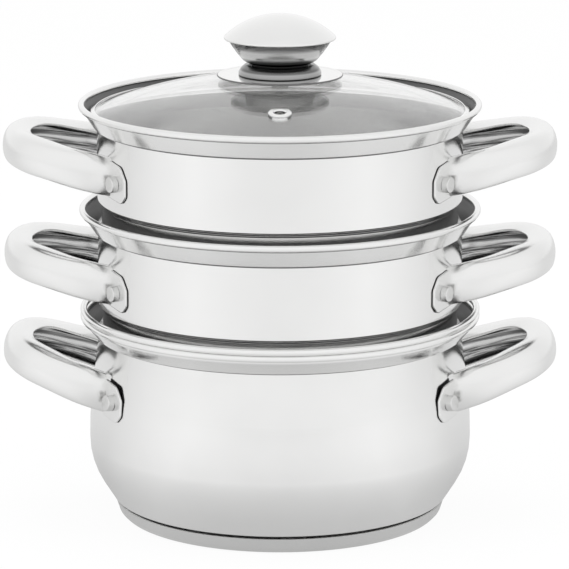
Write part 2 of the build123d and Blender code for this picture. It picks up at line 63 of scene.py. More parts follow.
# The pot, heights from the table. A step is how far the wall draws in and how tall that is.
POT_FLOOR = 6.8
POT_FLAT = 84.5
POT_HEEL = (93.6, 10.6)
BELLY = 106.8
BELLY_LOW = 31.4
BELLY_HIGH = 60.5
POT_LEDGE = 104.0
POT_STEP = (0.35, 0.5)
POT_RIM = 14.8
POT_ROLL = POT_LEDGE + POT_RIM - BEAD
POT_STRAIGHT = 6.0
LEAN = (BELLY - WALL) / (POT_LEDGE - BELLY_HIGH)

# The baskets, heights from the ledge that each one sits on
TIER = 58.6
SEATS = {"middle": POT_LEDGE, "top": POT_LEDGE + TIER}
BASKET_DEPTH = 13.0
BASKET_STEP = (0.5, 0.8)
BASKET_RIM = 12.6
NECK = 99.0
NECK_TOP = 15.1
SHOULDER = 17.0
SEAT_BEAD = (2.7, 3.0)
FLOOR_ROUND = 5.0
HANDLE_DROPS = {"middle": 36.7, "top": 34.7}
HOLE_RADIUS = 2.6
HOLE_PITCH = 13.5
HOLE_RINGS = 6
HOLE_STEPS = 24

# The lid, heights from its seat
LID_SEAT = POT_LEDGE + 2 * TIER
LID_EDGE = 8.0
BAND_LIP = 102.4
GLASS_RISE = 18.0
CROWN = LID_SEAT + (LID_EDGE + GLASS_RISE)
GLASS_RADIUS = (BAND_LIP ** 2 + GLASS_RISE ** 2) / (2 * GLASS_RISE)
GLASS_CENTRE = CROWN - GLASS_RADIUS
GLASS_SHEET = 4.0

# The knob, heights from the crown of the glass
FOOT_LOW = 1.5
FOOT_TALL = 5.7
BOWL_LOW = 8.0
CAP_EDGE = 21.1
CAP_TOP = 34.8
CAP_WALL = 1.1


# Profiles in the plane of radius and height

def offset_path(path, distance):
    """Shift a polyline to its left, with mitred corners."""
    normals = []
    for (r0, z0), (r1, z1) in zip(path[:-1], path[1:]):
        length = hypot(r1 - r0, z1 - z0)
        normals.append(((z0 - z1) / length, (r1 - r0) / length))
    out = []
    for i, (r, z) in enumerate(path):
        a = normals[max(i - 1, 0)]
        b = normals[min(i, len(normals) - 1)]
        k = distance / (1 + a[0] * b[0] + a[1] * b[1])
        out.append((r + (a[0] + b[0]) * k, z + (a[1] + b[1]) * k))
    return out


def sheet_loop(path, rounds, sheet, lip=None):
    """Close a bent sheet's section. Returns corners as radius, height and rounding."""
    inner = offset_path(path, sheet)
    outer_rounds = [0] + list(rounds) + [0]
    inner_rounds = [0]
    for i in range(1, len(path) - 1):
        (r0, z0), (r1, z1), (r2, z2) = path[i - 1:i + 2]
        left = (r1 - r0) * (z2 - z1) - (z1 - z0) * (r2 - r1) > 0
        inner_rounds.append(max(rounds[i - 1] + (-sheet if left else sheet), 0))
    inner_rounds.append(0)
    if lip:
        outer_rounds[-1] = inner_rounds[-1] = lip
        outer_rounds[0] = inner_rounds[0] = lip if path[0][0] > 0 else 0
    outer = [(r, z, f) for (r, z), f in zip(path, outer_rounds)]
    inner = [(r, z, f) for (r, z), f in zip(inner, inner_rounds)]
    return outer + inner[::-1]


def round_corners(corners, closed=True):
    """Turn corners into points, each with the normals before and after it, to the right of
    travel, and the number of its corner."""
    count = len(corners)
    points = []
    for i, (r, z, f) in enumerate(corners):
        if not closed and i in (0, count - 1):
            j = 1 if i == 0 else count - 2
            d = Vector((corners[j][0] - r, corners[j][1] - z)) * (1 if i == 0 else -1)
            n = Vector((d.y, -d.x)).normalized()
            points.append((r, z, n, n, i))
            continue
        p = Vector((r, z))
        a = Vector(corners[i - 1][:2]) - p
        b = Vector(corners[(i + 1) % count][:2]) - p
        da, db = a.normalized(), b.normalized()
        n_in = Vector((-da.y, da.x))
        n_out = Vector((db.y, -db.x))
        bend = atan2(n_in.x * n_out.y - n_in.y * n_out.x, n_in.dot(n_out))
        if f <= 0 or abs(bend) < LEAST_BEND:
            points.append((r, z, n_in, n_out, i))
            continue
        cut = min(f * tan(abs(bend) / 2), EDGE_SHARE * a.length, EDGE_SHARE * b.length)
        radius = cut / tan(abs(bend) / 2)
        start = p + da * cut
        side = 1 if bend > 0 else -1
        centre = start - n_in * radius * side
        steps = max(int(abs(bend) / ARC_STEP), LEAST_STEPS)
        for k in range(steps + 1):
            turn = bend * k / steps
            n = Vector((n_in.x * cos(turn) - n_in.y * sin(turn), n_in.x * sin(turn) + n_in.y * cos(turn)))
            q = centre + n * radius * side
            points.append((q.x, q.y, n, n, i))
    return points


class Builder:
    """Collects turned and lofted surfaces into one mesh with exact normals."""

    def __init__(self):
        self.points, self.faces, self.normals, self.places, self.inner = [], [], [], [], []

    def turn(self, corners, steps=TURN_STEPS, place=Matrix.Identity(4), closed=True, flip=False,
             finishes=None):
        """Spin a profile about the Z axis, then place it.

        A face between two corners that name the same finish takes that material number."""
        finishes = finishes or {}
        profile = round_corners(corners, closed)
        turned = place.to_3x3()
        angles = [2 * pi * k / steps for k in range(steps)]
        rings = []
        for r, z, *_ in profile:
            if r < ON_AXIS:
                self.points.append(place @ Vector((0, 0, z)))
                rings.append([len(self.points) - 1] * steps)
                continue
            first = len(self.points)
            self.points += [place @ Vector((r * cos(a), r * sin(a), z)) for a in angles]
            rings.append(list(range(first, first + steps)))
        pairs = list(zip(range(len(profile)), range(1, len(profile))))
        if closed:
            pairs.append((len(profile) - 1, 0))
        for i, j in pairs:
            if profile[i][0] < ON_AXIS and profile[j][0] < ON_AXIS:
                continue
            n0, n1 = profile[i][3], profile[j][2]
            for k in range(steps):
                m = (k + 1) % steps
                loop = [(rings[i][k], n0, k), (rings[i][m], n0, m),
                        (rings[j][m], n1, m), (rings[j][k], n1, k)]
                if profile[i][0] < ON_AXIS:
                    loop.pop(0)
                elif profile[j][0] < ON_AXIS:
                    loop.pop(3)
                if flip:
                    loop.reverse()
                self.faces.append([v for v, _, _ in loop])
                self.places += [(q / steps, i / len(profile)) for _, _, q in loop]
                finish = finishes.get(profile[i][4], 0)
                self.inner.append(finish if finishes.get(profile[j][4], 0) == finish else 0)
                for _, n, q in loop:
                    w = -n if flip else n
                    self.normals.append(turned @ Vector((w.x * cos(angles[q]), w.x * sin(angles[q]), w.y)))

    def grid(self, rows, flip=False, inner=()):
        """Join rings of points of equal length into quads. Columns named as inner take material 1."""
        first = len(self.points)
        rows = np.asarray(rows, float)
        count, width = rows.shape[:2]
        self.points += [Vector(p) for row in rows for p in row]
        along = np.gradient(rows, axis=0)
        across = np.roll(rows, -1, 1) - np.roll(rows, 1, 1)
        normals = np.cross(along, across)
        length = np.linalg.norm(normals, axis=2, keepdims=True)
        normals = normals / np.maximum(length, 1e-12) * (-1 if flip else 1)
        for i in range(count - 1):
            for k in range(width):
                m = (k + 1) % width
                loop = [(i, k), (i + 1, k), (i + 1, m), (i, m)]
                if flip:
                    loop.reverse()
                self.faces.append([first + a * width + b for a, b in loop])
                self.places += [(a / (count - 1), (k + (b != k)) / width) for a, b in loop]
                self.inner.append(int(k in inner))
                self.normals += [Vector(normals[a][b]) for a, b in loop]

    def face(self, corners):
        """Add one flat face on points that are there."""
        places = [self.points[i] for i in corners]
        normal = Vector()
        for p, q in zip(places, places[1:] + places[:1]):
            normal += p.cross(q)
        self.faces.append(list(corners))
        self.places += [(0.0, 0.0)] * len(places)
        self.inner.append(0)
        self.normals += [normal.normalized()] * len(places)

    def mirror(self, axis):
        """Reflect everything so far across a plane, as a copy."""
        copy = Builder()
        sign = Vector([-1 if i == axis else 1 for i in range(3)])
        copy.points = [p * sign for p in self.points]
        position = 0
        for face in self.faces:
            copy.faces.append(face[::-1])
            part = self.normals[position:position + len(face)]
            copy.normals += [n * sign for n in part[::-1]]
            copy.places += self.places[position:position + len(face)][::-1]
            position += len(face)
        copy.inner = list(self.inner)
        return copy

    def add(self, other):
        """Append another builder's surfaces."""
        first = len(self.points)
        self.points += other.points
        self.faces += [[first + v for v in face] for face in other.faces]
        self.normals += other.normals
        self.places += other.places
        self.inner += other.inner

    def mesh(self, name):
        """Make the Blender mesh, in metres."""
        mesh = bpy.data.meshes.new(name)
        mesh.from_pydata([p * MM for p in self.points], [], self.faces)
        mesh.polygons.foreach_set("use_smooth", [True] * len(mesh.polygons))
        layer = mesh.uv_layers.new(name="UVMap")
        layer.data.foreach_set("uv", [c for place in self.places for c in place])
        mesh.polygons.foreach_set("material_index", self.inner)
        mesh.normals_split_custom_set([n.normalized() for n in self.normals])
        mesh.update()
        return mesh


def piece(name, shape, body, nodes, slot, *materials):
    """Turn a builder or mesh into a visible piece that stands for CAD nodes. Its faces name
    their material by its place in the list."""
    mesh = shape.mesh(name) if isinstance(shape, Builder) else shape
    obj = bpy.data.objects.new(name, mesh)
    bpy.context.scene.collection.objects.link(obj)
    for material in materials:
        mesh.materials.append(material)
    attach(obj, body)
    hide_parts(*nodes)
    return obj


def evaluated(obj):
    """Take an object's mesh with its modifiers applied."""
    graph = bpy.context.evaluated_depsgraph_get()
    return bpy.data.meshes.new_from_object(obj.evaluated_get(graph))


# Materials

def link(tree, a, b):
    """Join an output socket to an input socket."""
    tree.links.new(a, b)


def ramp_node(tree, stops):
    """Make a grey ramp with its stops as position and level."""
    ramp = tree.nodes.new("ShaderNodeValToRGB")
    ramp.color_ramp.elements[0].position = stops[0][0]
    ramp.color_ramp.elements[1].position = stops[-1][0]
    for position, _ in stops[1:-1]:
        ramp.color_ramp.elements.new(position)
    for element, (_, level) in zip(ramp.color_ramp.elements, stops):
        element.color = (level, level, level, 1)
    return ramp


# How dark the haze makes steel and the grain makes a moulded surface, as shares of their colour
HAZE_TONE = 0.975
GRAIN_TONE = 0.8


def steel(name, colour, rough, lines, bump, grain=(6.0, 6.0, 700.0)):
    """Make polished steel: fine lines left by the polishing mop, faint haze and tiny dents."""
    material = bpy.data.materials.new(name)
    material.use_nodes = True
    tree = material.node_tree
    shader = tree.nodes["Principled BSDF"]
    shader.inputs["Metallic"].default_value = 1.0
    shader.inputs["IOR"].default_value = 2.5
    place = tree.nodes.new("ShaderNodeTexCoord")
    stretch = tree.nodes.new("ShaderNodeMapping")
    stretch.inputs["Scale"].default_value = grain
    streaks = tree.nodes.new("ShaderNodeTexNoise")
    streaks.inputs["Scale"].default_value = lines
    streaks.inputs["Detail"].default_value = 3.0
    haze = tree.nodes.new("ShaderNodeTexNoise")
    haze.inputs["Scale"].default_value = 38.0
    haze.inputs["Detail"].default_value = 4.0
    link(tree, place.outputs["Object"], stretch.inputs["Vector"])
    link(tree, stretch.outputs["Vector"], streaks.inputs["Vector"])
    link(tree, place.outputs["Object"], haze.inputs["Vector"])
    mix = tree.nodes.new("ShaderNodeMix")
    mix.data_type = "FLOAT"
    mix.inputs["Factor"].default_value = 0.5
    link(tree, streaks.outputs["Fac"], mix.inputs["A"])
    link(tree, haze.outputs["Fac"], mix.inputs["B"])
    rough_range = tree.nodes.new("ShaderNodeMapRange")
    rough_range.inputs["From Min"].default_value = 0.3
    rough_range.inputs["From Max"].default_value = 0.7
    rough_range.inputs["To Min"].default_value = rough[0]
    rough_range.inputs["To Max"].default_value = rough[1]
    link(tree, mix.outputs["Result"], rough_range.inputs["Value"])
    link(tree, rough_range.outputs["Result"], shader.inputs["Roughness"])
    tone = tree.nodes.new("ShaderNodeMapRange")
    tone.data_type = "FLOAT_VECTOR"
    # Sockets 6 to 10 are the vector, its range and the range of the result
    tone.inputs[7].default_value = (0.3, 0.3, 0.3)
    tone.inputs[8].default_value = (0.7, 0.7, 0.7)
    tone.inputs[9].default_value = [c * HAZE_TONE for c in colour]
    tone.inputs[10].default_value = colour
    link(tree, haze.outputs["Fac"], tone.inputs[6])
    link(tree, tone.outputs[1], shader.inputs["Base Color"])
    dent = tree.nodes.new("ShaderNodeBump")
    dent.inputs["Strength"].default_value = bump
    dent.inputs["Distance"].default_value = 0.0002
    link(tree, streaks.outputs["Fac"], dent.inputs["Height"])
    link(tree, dent.outputs["Normal"], shader.inputs["Normal"])
    return material


def channel_streak_material(name):
    """Make the inside of a pressed channel: long dark streaks of painted reflection and shade, and ripples.
    """
    material = bpy.data.materials.new(name)
    material.use_nodes = True
    tree = material.node_tree
    shader = tree.nodes["Principled BSDF"]
    shader.inputs["Metallic"].default_value = 1.0
    shader.inputs["Roughness"].default_value = 0.2
    place = tree.nodes.new("ShaderNodeTexCoord")
    stretch = tree.nodes.new("ShaderNodeMapping")
    stretch.inputs["Scale"].default_value = (3.6, 40.0, 1.0)
    marks = tree.nodes.new("ShaderNodeTexNoise")
    marks.inputs["Scale"].default_value = 1.0
    marks.inputs["Detail"].default_value = 2.0
    marks.inputs["Distortion"].default_value = 0.6
    # The ramp paints reflection and shade into the colour as dark streaks
    ramp = ramp_node(tree, ((0.36, 0.015), (0.46, 0.16), (0.54, 0.42), (0.62, 0.7)))
    bump = tree.nodes.new("ShaderNodeBump")
    bump.inputs["Strength"].default_value = 0.7
    bump.inputs["Distance"].default_value = 0.0006
    link(tree, place.outputs["UV"], stretch.inputs["Vector"])
    link(tree, stretch.outputs["Vector"], marks.inputs["Vector"])
    link(tree, marks.outputs["Fac"], ramp.inputs["Fac"])
    link(tree, ramp.outputs["Color"], shader.inputs["Base Color"])
    link(tree, marks.outputs["Fac"], bump.inputs["Height"])
    link(tree, bump.outputs["Normal"], shader.inputs["Normal"])
    return material


# Painted reflection in rings on the knob's bowl and foot, as tone by height from low to high
BOWL_PAINTED_REFLECTION = (
    (0.0, 0.07), (0.16, 0.09), (0.24, 0.3), (0.32, 0.6), (0.62, 0.58), (0.74, 0.3), (0.88, 0.17), (1.0, 0.15),
)
FOOT_PAINTED_REFLECTION = ((0.0, 0.06), (0.1, 0.36), (0.4, 0.4), (0.56, 0.15), (0.8, 0.18), (1.0, 0.12))


def painted_reflection_steel(name, low, high, stops):
    """Make steel whose tone is painted reflection in rings, by height."""
    material = steel(name, (0.5, 0.5, 0.5), (0.1, 0.16), 4.0, 0.02)
    tree = material.node_tree
    place = tree.nodes.new("ShaderNodeTexCoord")
    split = tree.nodes.new("ShaderNodeSeparateXYZ")
    share = tree.nodes.new("ShaderNodeMapRange")
    share.inputs["From Min"].default_value = low * MM
    share.inputs["From Max"].default_value = high * MM
    ramp = ramp_node(tree, stops)
    link(tree, place.outputs["Object"], split.inputs[0])
    link(tree, split.outputs["Z"], share.inputs["Value"])
    link(tree, share.outputs["Result"], ramp.inputs["Fac"])
    link(tree, ramp.outputs["Color"], tree.nodes["Principled BSDF"].inputs["Base Color"])
    return material


def plain(name, colour, roughness, noise, amount, transmission=0.0, ior=1.45):
    """Make a moulded surface: fine grain in colour and bump."""
    material = bpy.data.materials.new(name)
    material.use_nodes = True
    tree = material.node_tree
    shader = tree.nodes["Principled BSDF"]
    shader.inputs["Roughness"].default_value = roughness
    shader.inputs["Transmission Weight"].default_value = transmission
    shader.inputs["IOR"].default_value = ior
    place = tree.nodes.new("ShaderNodeTexCoord")
    grain = tree.nodes.new("ShaderNodeTexNoise")
    grain.inputs["Scale"].default_value = noise
    grain.inputs["Detail"].default_value = 5.0
    ramp = tree.nodes.new("ShaderNodeValToRGB")
    ramp.color_ramp.elements[0].position = 0.3
    ramp.color_ramp.elements[1].position = 0.7
    ramp.color_ramp.elements[0].color = [c * GRAIN_TONE for c in colour] + [1]
    ramp.color_ramp.elements[1].color = list(colour) + [1]
    bump = tree.nodes.new("ShaderNodeBump")
    bump.inputs["Strength"].default_value = amount
    bump.inputs["Distance"].default_value = 0.0002
    link(tree, place.outputs["Object"], grain.inputs["Vector"])
    link(tree, grain.outputs["Fac"], ramp.inputs["Fac"])
    link(tree, ramp.outputs["Color"], shader.inputs["Base Color"])
    link(tree, grain.outputs["Fac"], bump.inputs["Height"])
    link(tree, bump.outputs["Normal"], shader.inputs["Normal"])
    return material


def clear_glass(name):
    """Make clear glass that lets the lamps' light through to what is inside."""
    material = bpy.data.materials.new(name)
    material.use_nodes = True
    tree = material.node_tree
    shader = tree.nodes["Principled BSDF"]
    shader.inputs["Base Color"].default_value = (0.97, 0.97, 0.97, 1)
    shader.inputs["Roughness"].default_value = 0.01
    shader.inputs["Transmission Weight"].default_value = 1.0
    shader.inputs["IOR"].default_value = 1.5
    output = tree.nodes["Material Output"]
    clear = tree.nodes.new("ShaderNodeBsdfTransparent")
    clear.inputs["Color"].default_value = (0.975, 0.975, 0.975, 1)
    path = tree.nodes.new("ShaderNodeLightPath")
    deep = tree.nodes.new("ShaderNodeMath")
    deep.operation = "GREATER_THAN"
    deep.inputs[1].default_value = 2.5
    either = tree.nodes.new("ShaderNodeMath")
    either.operation = "MAXIMUM"
    mix = tree.nodes.new("ShaderNodeMixShader")
    link(tree, path.outputs["Ray Depth"], deep.inputs[0])
    link(tree, path.outputs["Is Shadow Ray"], either.inputs[0])
    link(tree, deep.outputs[0], either.inputs[1])
    link(tree, either.outputs[0], mix.inputs[0])
    link(tree, shader.outputs[0], mix.inputs[1])
    link(tree, clear.outputs[0], mix.inputs[2])
    link(tree, mix.outputs[0], output.inputs[0])
    return material


polished = steel("polished_steel_wall", (0.87, 0.87, 0.865), (0.12, 0.18), 1.0, 0.01)
handle_steel = steel("polished_steel_handle", (0.86, 0.86, 0.855), (0.2, 0.28), 9.0, 0.01, (8.0, 60.0, 60.0))
satin = steel("satin_steel_base", (0.78, 0.78, 0.775), (0.2, 0.26), 1.0, 0.01)
trim_steel = steel("polished_steel_trim", (0.87, 0.87, 0.865), (0.06, 0.12), 12.0, 0.02, (40.0, 40.0, 200.0))
channel_painted_streaks = channel_streak_material("channel_steel_painted_streaks")
rivet_steel = steel("brushed_steel_rivet", (0.74, 0.74, 0.735), (0.16, 0.28), 20.0, 0.05, (60.0, 60.0, 60.0))
# The bowl and foot take painted reflection in rings by height in place of their steel's tone
bowl_painted_reflection = painted_reflection_steel("steel_bowl_painted_reflection", CROWN + BOWL_LOW, CROWN + CAP_EDGE, BOWL_PAINTED_REFLECTION)
foot_painted_reflection = painted_reflection_steel("steel_foot_painted_reflection", CROWN + FOOT_LOW, CROWN + FOOT_LOW + FOOT_TALL, FOOT_PAINTED_REFLECTION)
aluminium = steel("aluminium_disc", (0.78, 0.79, 0.80), (0.3, 0.45), 3.0, 0.05)
# Dark steel that paints shade into creases, under the rolls and on the rosette's edge
crease_painted_shade = steel("steel_crease_painted_shade", (0.2, 0.2, 0.2), (0.25, 0.35), 1.0, 0.02)
# Painted shade inside the flares, in the gap between tiers; its higher roughness is real
flare_painted_shade = steel("steel_flare_painted_shade", (0.15, 0.15, 0.15), (0.4, 0.5), 1.0, 0.02)
black = plain("black_plastic_core", (0.012, 0.012, 0.012), 0.42, 900.0, 0.08)
# Near-black material for the painted shade line along the ears' foot
seam_painted_shade = plain("ear_seam_painted_shade", (0.02, 0.02, 0.02), 0.7, 600.0, 0.1)
silicone = plain("silicone_washer", (0.72, 0.72, 0.70), 0.5, 500.0, 0.05, 0.4, 1.41)
glass = clear_glass("clear_lid_glass")


# Walls of the pot and the baskets

def bead_corners(height):
    """Give the round section of a rolled rim as corners of one rounding."""
    low, high = height - BEAD, height + BEAD
    inner, outer = BEAD_REACH - 2 * BEAD, BEAD_REACH
    return [(inner, low, BEAD), (outer, low, BEAD), (outer, high, BEAD), (inner, high, BEAD)]


# Outside of the pot from the axis to the roll of its rim, and the rounding of the corners between
POT_PATH = [
    (0, POT_FLOOR), (POT_FLAT, POT_FLOOR), POT_HEEL, (BELLY, BELLY_LOW), (BELLY, BELLY_HIGH),
    (WALL, POT_LEDGE - SHEET - POT_STEP[1]), (WALL - POT_STEP[0], POT_LEDGE - SHEET),
    (WALL + LEDGE, POT_LEDGE - SHEET), (FLARE, POT_ROLL - POT_STRAIGHT), (FLARE, POT_ROLL),
]
POT_ROUNDS = [8.0, 2.5, 51.0, 218.0, 0.5, 0.12, 1.0, 3.0]
# Material by corner: 1 painted shade in the crease under the flare, 2 painted shade on the flare's inside, 3
# a painted shade line under the roll
POT_PAINTED_SHADE = {6: 1, 7: 1, 10: 2, 11: 2, 12: 2}


def basket_path(seat):
    """Trace a basket's outside from the axis under its floor to the roll of its rim."""
    bead = NECK + SEAT_BEAD[0]
    bead_top = seat + SEAT_BEAD[1]
    ledge = seat + TIER - SHEET
    roll = seat + TIER + BASKET_RIM - BEAD
    return [
        (0, seat - BASKET_DEPTH), (NECK, seat - BASKET_DEPTH), (NECK, seat), (bead, seat),
        (bead, bead_top), (NECK, bead_top), (NECK, seat + NECK_TOP), (WALL, seat + SHOULDER),
        (WALL, ledge - BASKET_STEP[1]), (WALL - BASKET_STEP[0], ledge), (WALL + LEDGE, ledge),
        (FLARE, roll - BEAD), (FLARE, roll),
    ]


BASKET_ROUNDS = [FLOOR_ROUND, 0.25, 0.95, 0.95, 0.25, 1.6, 1.6, 0.4, 0.12, 0.9, 1.8]
# Painted shade by corner, as for the pot
BASKET_PAINTED_SHADE = {9: 1, 10: 1, 11: 3, 13: 2, 14: 2, 15: 2}
BASKET_FLAT = NECK - FLOOR_ROUND


def open_floor(loop, edge):
    """Start a closed sheet loop at a radius, where a separate floor joins it."""
    return [(max(r, edge), z, f) for r, z, f in loop]


def perforated_floor(seat):
    """Make the flat floor with its rings of round holes."""
    data = bpy.data.curves.new("floor_outline", "CURVE")
    data.dimensions = "2D"
    data.fill_mode = "BOTH"
    data.extrude = SHEET / 2 * MM

    def circle(x, y, radius, count):
        spline = data.splines.new("POLY")
        spline.points.add(count - 1)
        for k in range(count):
            a = 2 * pi * k / count
            spline.points[k].co = ((x + radius * cos(a)) * MM, (y + radius * sin(a)) * MM, 0, 1)
        spline.use_cyclic_u = True

    circle(0, 0, BASKET_FLAT, TURN_STEPS)
    circle(0, 0, HOLE_RADIUS, HOLE_STEPS)
    for ring in range(1, HOLE_RINGS + 1):
        for k in range(6 * ring):
            a = 2 * pi * k / (6 * ring)
            circle(HOLE_PITCH * ring * cos(a), HOLE_PITCH * ring * sin(a), HOLE_RADIUS, HOLE_STEPS)
    obj = bpy.data.objects.new("floor_outline", data)
    bpy.context.scene.collection.objects.link(obj)
    mesh = evaluated(obj)
    bpy.data.objects.remove(obj)
    mesh.transform(Matrix.Translation((0, 0, (seat - BASKET_DEPTH + SHEET / 2) * MM)))
    mesh.materials.clear()
    mesh.materials.append(polished)
    return mesh


def joined(first, second):
    """Join a second mesh to an object's mesh."""
    other = bpy.data.objects.new(second.name, second)
    bpy.context.scene.collection.objects.link(other)
    with bpy.context.temp_override(active_object=first, selected_editable_objects=[first, other],
                                   selected_objects=[first, other]):
        bpy.ops.object.join()


pot_shape = Builder()
pot_shape.turn(sheet_loop(POT_PATH, POT_ROUNDS, SHEET), finishes=POT_PAINTED_SHADE)
pot_shape.turn(bead_corners(POT_ROLL))
pot_shape.turn(bead_corners(POT_ROLL - 2 * BEAD + GAP))
piece("pot_body_shell", pot_shape, "pot", ["pot_body"], "polished_steel", polished, crease_painted_shade, flare_painted_shade)

for tier, seat in SEATS.items():
    shape = Builder()
    wall_loop = open_floor(sheet_loop(basket_path(seat), BASKET_ROUNDS, SHEET), BASKET_FLAT)
    shape.turn(wall_loop, finishes=BASKET_PAINTED_SHADE)
    shape.turn(bead_corners(seat + TIER + BASKET_RIM - BEAD))
    shell = piece(tier + "_steamer_shell", shape, tier + "_steamer", [tier + "_steamer_body"],
                  "polished_steel", polished, crease_painted_shade, flare_painted_shade, crease_painted_shade)
    joined(shell, perforated_floor(seat))

# The cup around the base's disc, from the axis to its edge under the seam
CUP_PATH = [(0, 0), (88.0, 0), (90.6, 2.6), (92.65, 8.7)]
CUP_ROUNDS = [2.4, 2.8]
CUP_SHEET = 0.8
cup_shape = Builder()
cup_shape.turn(sheet_loop(CUP_PATH, CUP_ROUNDS, CUP_SHEET))
piece("base_cap_shell", cup_shape, "pot", ["base_cap"], "base_steel", satin)


# Handles

# Outside of the channel's section, as shares of its depth and height, from the top lip to the low one
SECTION_LEG = (
    (1.0, 0.36), (0.74, 0.435), (0.42, 0.475), (0.18, 0.43), (0.05, 0.25),
    (0.0, 0.0), (0.01, -0.22), (0.08, -0.4), (0.26, -0.49), (0.55, -0.47),
)
SECTION_END = (
    (1.0, 0.35), (0.74, 0.435), (0.46, 0.475), (0.22, 0.42), (0.07, 0.25),
    (0.0, 0.02), (0.0, -0.2), (0.05, -0.38), (0.17, -0.48), (0.4, -0.47),
)
# Half of the loop: share of the turn, width, rise, height, depth, and share of the end's section
STATIONS = (
    (-1.6, 0.84, -0.28, 1.0, 0.75, 0.0), (-0.8, 0.935, 0.035, 1.0, 0.9, 0.0),
    (0.0, 1.0, 0.305, 1.0, 1.1, 0.0), (0.167, 1.0, 0.52, 0.96, 1.2, 0.1),
    (0.333, 1.02, 0.73, 0.925, 1.25, 0.3), (0.5, 1.07, 0.895, 0.915, 1.22, 0.55),
    (0.667, 1.14, 1.02, 0.88, 1.12, 0.8), (0.833, 1.2, 1.08, 0.84, 1.03, 0.95),
    (1.0, 1.0, 1.1, 0.83, 1.0, 1.0),
)
# Ear's outline, as shares of its half width and of the handle's height, with roundings
EAR_OUTLINE = (
    (-0.96, 0.43, 0.1), (0.5, 0.34, 0.5), (1.0, 0.03, 0.4), (1.0, -0.38, 0.35),
    (0.6, -0.565, 0.3), (-0.96, -0.49, 0.1),
)
# Ear from the middle of its back over its edge to the middle of its face: share of the outline, height
EAR_RINGS = (
    (0.02, 0.0), (1.0, 0.0), (1.0, 0.5), (1.0, 0.95), (0.994, 1.25), (0.975, 1.44),
    (0.945, 1.5), (0.6, 1.5), (0.3, 1.5), (0.02, 1.5),
)
EAR_HALF = 10.2
HANDLE_SHEET = 1.5
HANDLE_HEIGHT = 22.3
HANDLE_DEPTH = 15.0
HANDLE_HALF = 50.3
HANDLE_STRAIGHT = 16.0
HANDLE_REACH = 52.0
HANDLE_RISE = 11.2
LEG_ANGLE = 28.5
LEG_SPLAY = 9.0
POT_HANDLE_HEIGHT = 77.3
RIVET_ANGLE = 29.6
RIVET_DROP = 2.6
RIVET_STEPS = 40
# Rivet's outside from the middle of its head to the middle of its tail, with roundings
RIVET_OUTLINE = (
    (0, 4.05, 0), (2.6, 3.95, 3.0), (4.4, 3.75, 0.7), (4.4, GAP, 0), (2.5, GAP, 0),
    (2.5, -2.1, 0), (4.2, -2.4, 0.2), (4.2, -3.5, 0.5), (0, -3.55, 0),
)
# Points per span of the section, in a lip and per span of the loop, and rings in half of the loop
SECTION_STEPS = 5
LIP_POINTS = 5
LOOP_STEPS = 12
LOOP_RINGS = 64


def smooth_line(points, per_span):
    """Refine a row of points with a cubic that passes through each of them."""
    points = np.asarray(points, float)
    count = len(points)
    system = np.eye(count) * 4
    right = np.zeros_like(points)
    for i in range(1, count - 1):
        system[i, i - 1] = system[i, i + 1] = 1
        right[i] = 3 * (points[i + 1] - points[i - 1])
    system[0, 0] = system[-1, -1] = 2
    system[0, 1] = system[-1, -2] = 1
    right[0] = 3 * (points[1] - points[0])
    right[-1] = 3 * (points[-1] - points[-2])
    slopes = np.tensordot(np.linalg.inv(system), right, axes=(1, 0))
    out = []
    for i in range(count - 1):
        for k in range(per_span):
            t = k / per_span
            out.append(
                points[i] * (2 * t ** 3 - 3 * t ** 2 + 1) + points[i + 1] * (3 * t ** 2 - 2 * t ** 3)
                + slopes[i] * (t ** 3 - 2 * t ** 2 + t) + slopes[i + 1] * (t ** 3 - t ** 2)
            )
    out.append(points[-1])
    return np.array(out)


def channel_section(form, depth, height):
    """Give the closed section of the open channel, with rounded lips."""
    outer = smooth_line([(inset * depth, rise * height) for inset, rise in form], SECTION_STEPS)
    step = np.gradient(outer, axis=0)
    step /= np.linalg.norm(step, axis=1, keepdims=True)
    normal = np.stack([-step[:, 1], step[:, 0]], axis=1)
    inner = outer + normal * HANDLE_SHEET
    half = HANDLE_SHEET / 2

    def lip(index, way):
        middle = (outer[index] + inner[index]) / 2
        rows = []
        for k in range(1, LIP_POINTS + 1):
            a = pi * k / (LIP_POINTS + 1)
            rows.append(middle - normal[index] * half * cos(a) * way + step[index] * half * sin(a) * way)
        return rows

    return np.array([*outer, *lip(-1, 1), *inner[::-1], *lip(0, -1)])


def pot_wall_radius(z):
    """Give the outside radius of the pot's wall at a height, from its belly to its ledge."""
    corners = [(r, z, f) for (r, z), f in zip(POT_PATH[2:8], [0] + POT_ROUNDS[2:6] + [0])]
    line = [p for p in round_corners(corners, closed=False) if BELLY_LOW < p[1] < POT_LEDGE - 2 * SHEET]
    return float(np.interp(z, [p[1] for p in line], [p[0] for p in line]))


def basket_wall_radius(z):
    """Give the outside radius of a basket's straight wall."""
    return WALL


def close_channel(shape, first, width, way):
    """Close one end of the channel's sheet, between its outer and inner points and at its lips."""
    count = width // 2 - LIP_POINTS
    outer = [first + k for k in range(count)]
    inner = [first + width - LIP_POINTS - 1 - k for k in range(count)]
    for k in range(count - 1):
        shape.face([outer[k + 1], outer[k], inner[k], inner[k + 1]][::way])
    shape.face([inner[-1], *range(inner[-1] - 1, outer[-1], -1), outer[-1]][::way])
    shape.face([outer[0], *range(first + width - 1, inner[0], -1), inner[0]][::way])


